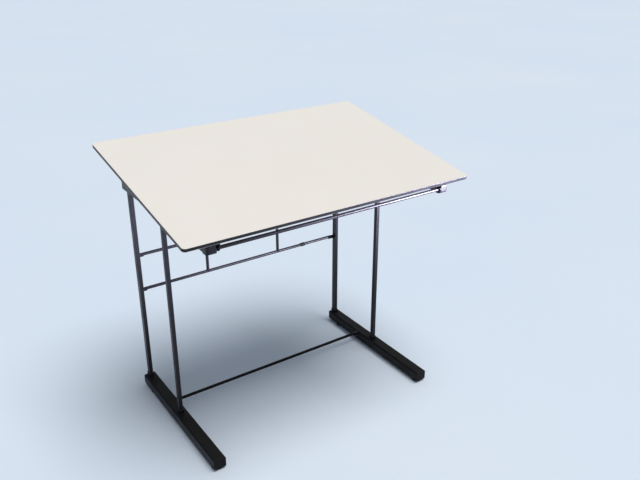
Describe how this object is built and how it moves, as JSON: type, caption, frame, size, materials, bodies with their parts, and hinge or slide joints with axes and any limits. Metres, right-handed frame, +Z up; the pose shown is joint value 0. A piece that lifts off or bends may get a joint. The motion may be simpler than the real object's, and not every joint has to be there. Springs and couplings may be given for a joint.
{
  "type": "drafting table",
  "caption": "Drafting table: a laminated top tilts on a bar at the front of an open steel frame and is held by slotted props with clamp knobs.",
  "frame": {"origin": "on the floor under the middle of the table, centred left to right and front to back, with the top at its rest tilt", "axes": "+X to the user's right along the front edge, +Y away from the user, +Z up"},
  "size_m": [0.914, 0.6024, 0.8385],
  "materials": {
    "white_laminate": "satin laminate",
    "backing_laminate": "matt backing sheet",
    "particle_board": "raw particle board",
    "edge_band": "satin edge band",
    "batten_wood": "planed beech, clear lacquer",
    "frame_steel": "satin black powder coat",
    "black_plastic": "satin moulded plastic",
    "knob_plastic": "gloss phenolic",
    "glide_plastic": "hard moulded plastic",
    "nylon": "black nylon",
    "rubber": "matt rubber",
    "black_hardware": "blackened steel",
    "zinc_hardware": "zinc plated steel"
  },
  "bodies": {
    "frame": {"foot_beam_left": "frame_steel", "foot_beam_right": "frame_steel", "foot_caps_front": "black_plastic", "foot_caps_rear": "black_plastic", "foot_stretcher_rod": "frame_steel", "stretcher_nuts": "black_hardware", "glide_inserts": "black_hardware", "leg_bolts": "black_hardware", "leg_plugs": "black_hardware", "leg_collars": "frame_steel", "front_leg_left": "frame_steel", "front_leg_right": "frame_steel", "rear_leg_left": "frame_steel", "rear_leg_right": "frame_steel", "side_arm_left": "frame_steel", "side_arm_right": "frame_steel", "arm_caps": "black_plastic", "pivot_block_left": "frame_steel", "pivot_block_right": "frame_steel", "front_cross_bar": "frame_steel", "bar_retaining_rings": "black_hardware", "rest_bumpers": "rubber", "track_upper_bar_left": "frame_steel", "track_upper_bar_right": "frame_steel", "track_lower_bar_left": "frame_steel", "track_lower_bar_right": "frame_steel", "track_end_blocks": "frame_steel", "brace_upper_rod": "frame_steel", "brace_lower_rod": "frame_steel", "brace_upright_left": "frame_steel", "brace_upright_right": "frame_steel", "brace_sleeve": "black_plastic", "brace_screws": "black_hardware"},
    "top": {"top_face_laminate": "white_laminate", "top_core": "particle_board", "top_back_laminate": "backing_laminate", "top_edge_band": "edge_band", "top_bearer_left": "frame_steel", "top_bearer_right": "frame_steel", "bearer_screws": "zinc_hardware", "hinge_bushes": "nylon", "front_batten": "batten_wood", "rear_batten": "batten_wood", "batten_screws": "zinc_hardware", "prop_pivot_stud_left": "zinc_hardware", "prop_pivot_stud_right": "zinc_hardware", "prop_pivot_nuts": "zinc_hardware"},
    "prop_left": {"tilt_prop_left": "frame_steel", "clamp_stud_left": "zinc_hardware", "clamp_washer_left": "zinc_hardware"},
    "knob_left": {"clamp_knob_left": "knob_plastic"},
    "prop_right": {"tilt_prop_right": "frame_steel", "clamp_stud_right": "zinc_hardware", "clamp_washer_right": "zinc_hardware"},
    "knob_right": {"clamp_knob_right": "knob_plastic"},
    "glide_front_left": {"levelling_glide_front_left": "glide_plastic"},
    "glide_rear_left": {"levelling_glide_rear_left": "glide_plastic"},
    "glide_front_right": {"levelling_glide_front_right": "glide_plastic"},
    "glide_rear_right": {"levelling_glide_rear_right": "glide_plastic"}
  },
  "joints": [
    {"name": "top_tilt", "type": "hinge", "parent": "frame", "child": "top", "pos_m": [0, -0.28047, 0.704], "axis": [1, 0, 0], "range_deg": [-10, 35]},
    {"name": "prop_swing_left", "type": "hinge", "parent": "top", "child": "prop_left", "pos_m": [-0.3495, -0.03426, 0.74741], "axis": [1, 0, 0], "range_deg": [-70, 20]},
    {"name": "clamp_turn_left", "type": "hinge", "parent": "prop_left", "child": "knob_left", "pos_m": [-0.338, 0.21194, 0.704], "axis": [1, 0, 0], "range_deg": [0, 360]},
    {"name": "prop_swing_right", "type": "hinge", "parent": "top", "child": "prop_right", "pos_m": [0.3495, -0.03426, 0.74741], "axis": [1, 0, 0], "range_deg": [-70, 20]},
    {"name": "clamp_turn_right", "type": "hinge", "parent": "prop_right", "child": "knob_right", "pos_m": [0.338, 0.21194, 0.704], "axis": [-1, 0, 0], "range_deg": [0, 360]},
    {"name": "glide_turn_front_left", "type": "hinge", "parent": "frame", "child": "glide_front_left", "pos_m": [-0.376, -0.22297, 0.006], "axis": [0, 0, 1], "range_deg": [0, 720]},
    {"name": "glide_turn_rear_left", "type": "hinge", "parent": "frame", "child": "glide_rear_left", "pos_m": [-0.376, 0.21253, 0.006], "axis": [0, 0, 1], "range_deg": [0, 720]},
    {"name": "glide_turn_front_right", "type": "hinge", "parent": "frame", "child": "glide_front_right", "pos_m": [0.376, -0.22297, 0.006], "axis": [0, 0, 1], "range_deg": [0, 720]},
    {"name": "glide_turn_rear_right", "type": "hinge", "parent": "frame", "child": "glide_rear_right", "pos_m": [0.376, 0.21253, 0.006], "axis": [0, 0, 1], "range_deg": [0, 720]}
  ],
  "couplings": [
    {"joint": "prop_swing_left", "follows": "top_tilt", "ratio": -2},
    {"joint": "prop_swing_right", "follows": "top_tilt", "ratio": -2}
  ]
}
